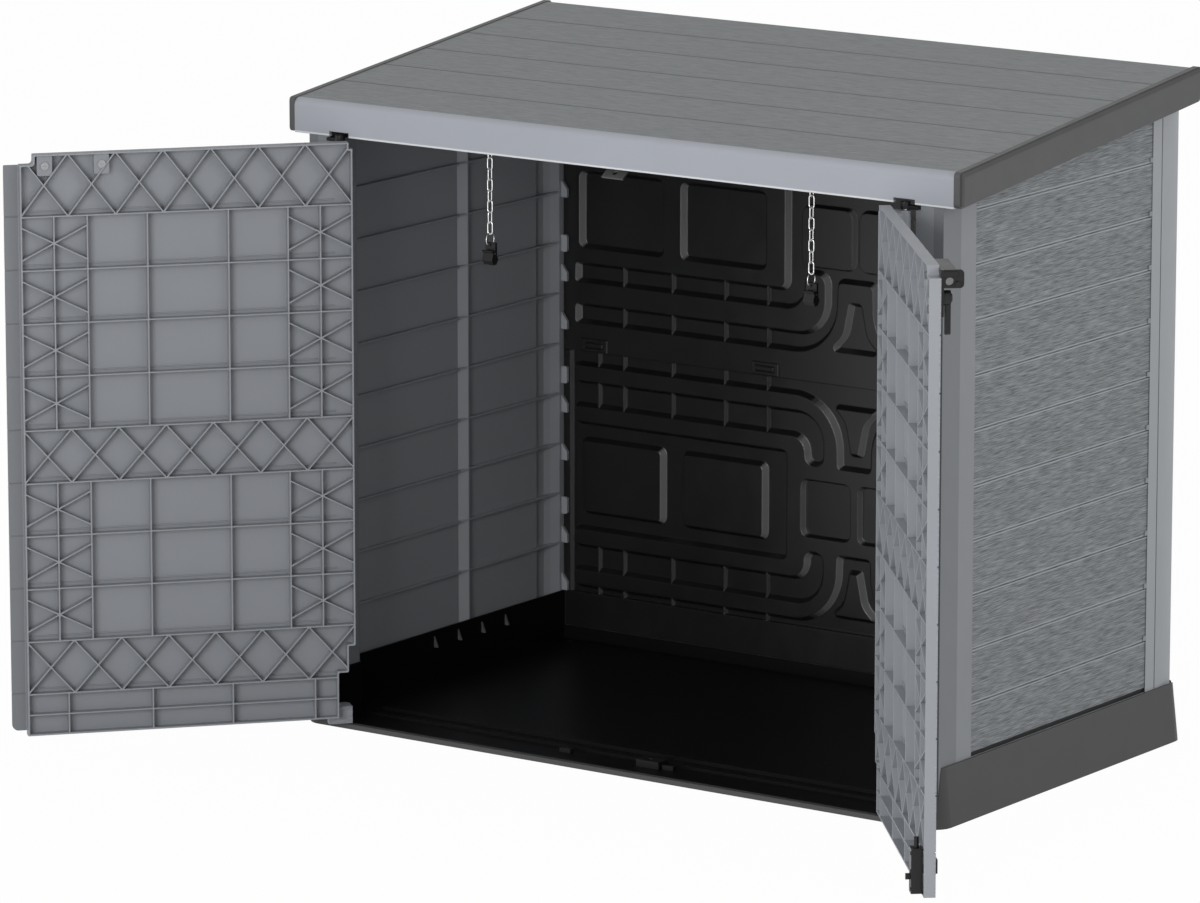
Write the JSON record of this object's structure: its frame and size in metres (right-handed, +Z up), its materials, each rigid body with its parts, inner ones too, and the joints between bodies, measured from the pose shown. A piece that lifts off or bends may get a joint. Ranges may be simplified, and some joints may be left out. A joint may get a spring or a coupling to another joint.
{
  "type": "bin store",
  "caption": "Garden bin store with a sloping lift-up roof, plank-faced walls on a tray base, open double doors ribbed inside, and two chains that clip to the bins' lids.",
  "frame": {"origin": "centre of the base's underside, on the ground", "axes": "+X to the right along the front, +Y from front to back, +Z up"},
  "size_m": [2.024, 1.3157, 1.2534],
  "materials": {
    "wall_resin": "grained",
    "post_resin": "satin",
    "roof_resin": "wood grain",
    "dark_resin": "satin",
    "black_resin": "satin",
    "zinc": "plated",
    "black_fastener": "blackened"
  },
  "bodies": {
    "store": {"base_tray": "dark_resin", "bolt_keeper": "black_resin", "door_stops": "black_resin", "left_side_panel": "wall_resin", "right_side_panel": "wall_resin", "lower_back_panel": "black_resin", "upper_back_panel": "black_resin", "back_panel_latches": "black_resin", "lid_hinge_brackets": "black_resin", "lid_hinge_pins": "zinc", "left_top_hinge_bracket": "black_resin", "right_top_hinge_bracket": "black_resin", "left_top_pivot_pin": "zinc", "right_top_pivot_pin": "zinc"},
    "lid": {"lid_panel": "roof_resin", "left_lid_end_cap": "dark_resin", "right_lid_end_cap": "dark_resin", "lid_staple": "black_resin", "left_chain_eye": "zinc", "right_chain_eye": "zinc"},
    "left_door": {"left_door": "post_resin", "left_hasp_bracket": "black_resin", "left_hasp_screws": "black_fastener", "left_bottom_pivot_pin": "zinc"},
    "right_door": {"right_door": "post_resin", "lock_block": "black_resin", "lever_stud": "black_fastener", "right_lock_screws": "black_fastener", "bolt_housing": "black_resin", "bolt_screws": "black_fastener", "bolt_backing_tab": "black_resin", "right_bottom_pivot_pin": "zinc"},
    "latch_lever": {"latch_lever": "black_resin"},
    "bolt": {"bolt_rod": "black_resin"},
    "left_chain": {"left_chain": "zinc", "left_split_ring": "zinc", "left_clip_body": "black_resin", "left_clip_pin": "zinc"},
    "right_chain": {"right_chain": "zinc", "right_split_ring": "zinc", "right_clip_body": "black_resin", "right_clip_pin": "zinc"},
    "left_clip_jaw": {"left_clip_jaw": "black_resin"},
    "right_clip_jaw": {"right_clip_jaw": "black_resin"}
  },
  "joints": [
    {"name": "lid_hinge", "type": "hinge", "parent": "store", "child": "lid", "pos_m": [0, 0.39, 1.19202], "axis": [-1, 0, 0], "range_deg": [0, 80]},
    {"name": "left_door_pivot", "type": "hinge", "parent": "store", "child": "left_door", "pos_m": [-0.612, -0.408, 0.5], "axis": [0, 0, 1], "range_deg": [-39, 131]},
    {"name": "right_door_pivot", "type": "hinge", "parent": "store", "child": "right_door", "pos_m": [0.612, -0.408, 0.5], "axis": [0, 0, -1], "range_deg": [-39, 131]},
    {"name": "latch_turn", "type": "hinge", "parent": "right_door", "child": "latch_lever", "pos_m": [0.98195, -0.85492, 1.048], "axis": [-0.7547, -0.6561, 0], "range_deg": [0, 90]},
    {"name": "bolt_slide", "type": "slide", "parent": "right_door", "child": "bolt", "axis": [0, 0, -1], "range_m": [0, 0.015]},
    {"name": "left_chain_swing", "type": "hinge", "parent": "lid", "child": "left_chain", "pos_m": [-0.35, -0.305, 1.13584], "axis": [1, 0, 0], "range_deg": [0, 80]},
    {"name": "left_clip_squeeze", "type": "hinge", "parent": "left_chain", "child": "left_clip_jaw", "pos_m": [-0.35, -0.305, 0.90254], "axis": [-1, 0, 0], "range_deg": [0, 14], "stiffness_Nm_per_rad": 0.4, "springref_deg": -8.59},
    {"name": "right_chain_swing", "type": "hinge", "parent": "lid", "child": "right_chain", "pos_m": [0.35, -0.305, 1.13584], "axis": [1, 0, 0], "range_deg": [0, 80]},
    {"name": "right_clip_squeeze", "type": "hinge", "parent": "right_chain", "child": "right_clip_jaw", "pos_m": [0.35, -0.305, 0.90254], "axis": [-1, 0, 0], "range_deg": [0, 14], "stiffness_Nm_per_rad": 0.4, "springref_deg": -8.59}
  ],
  "couplings": [
    {"joint": "left_chain_swing", "follows": "lid_hinge", "ratio": 1},
    {"joint": "right_chain_swing", "follows": "lid_hinge", "ratio": 1}
  ]
}
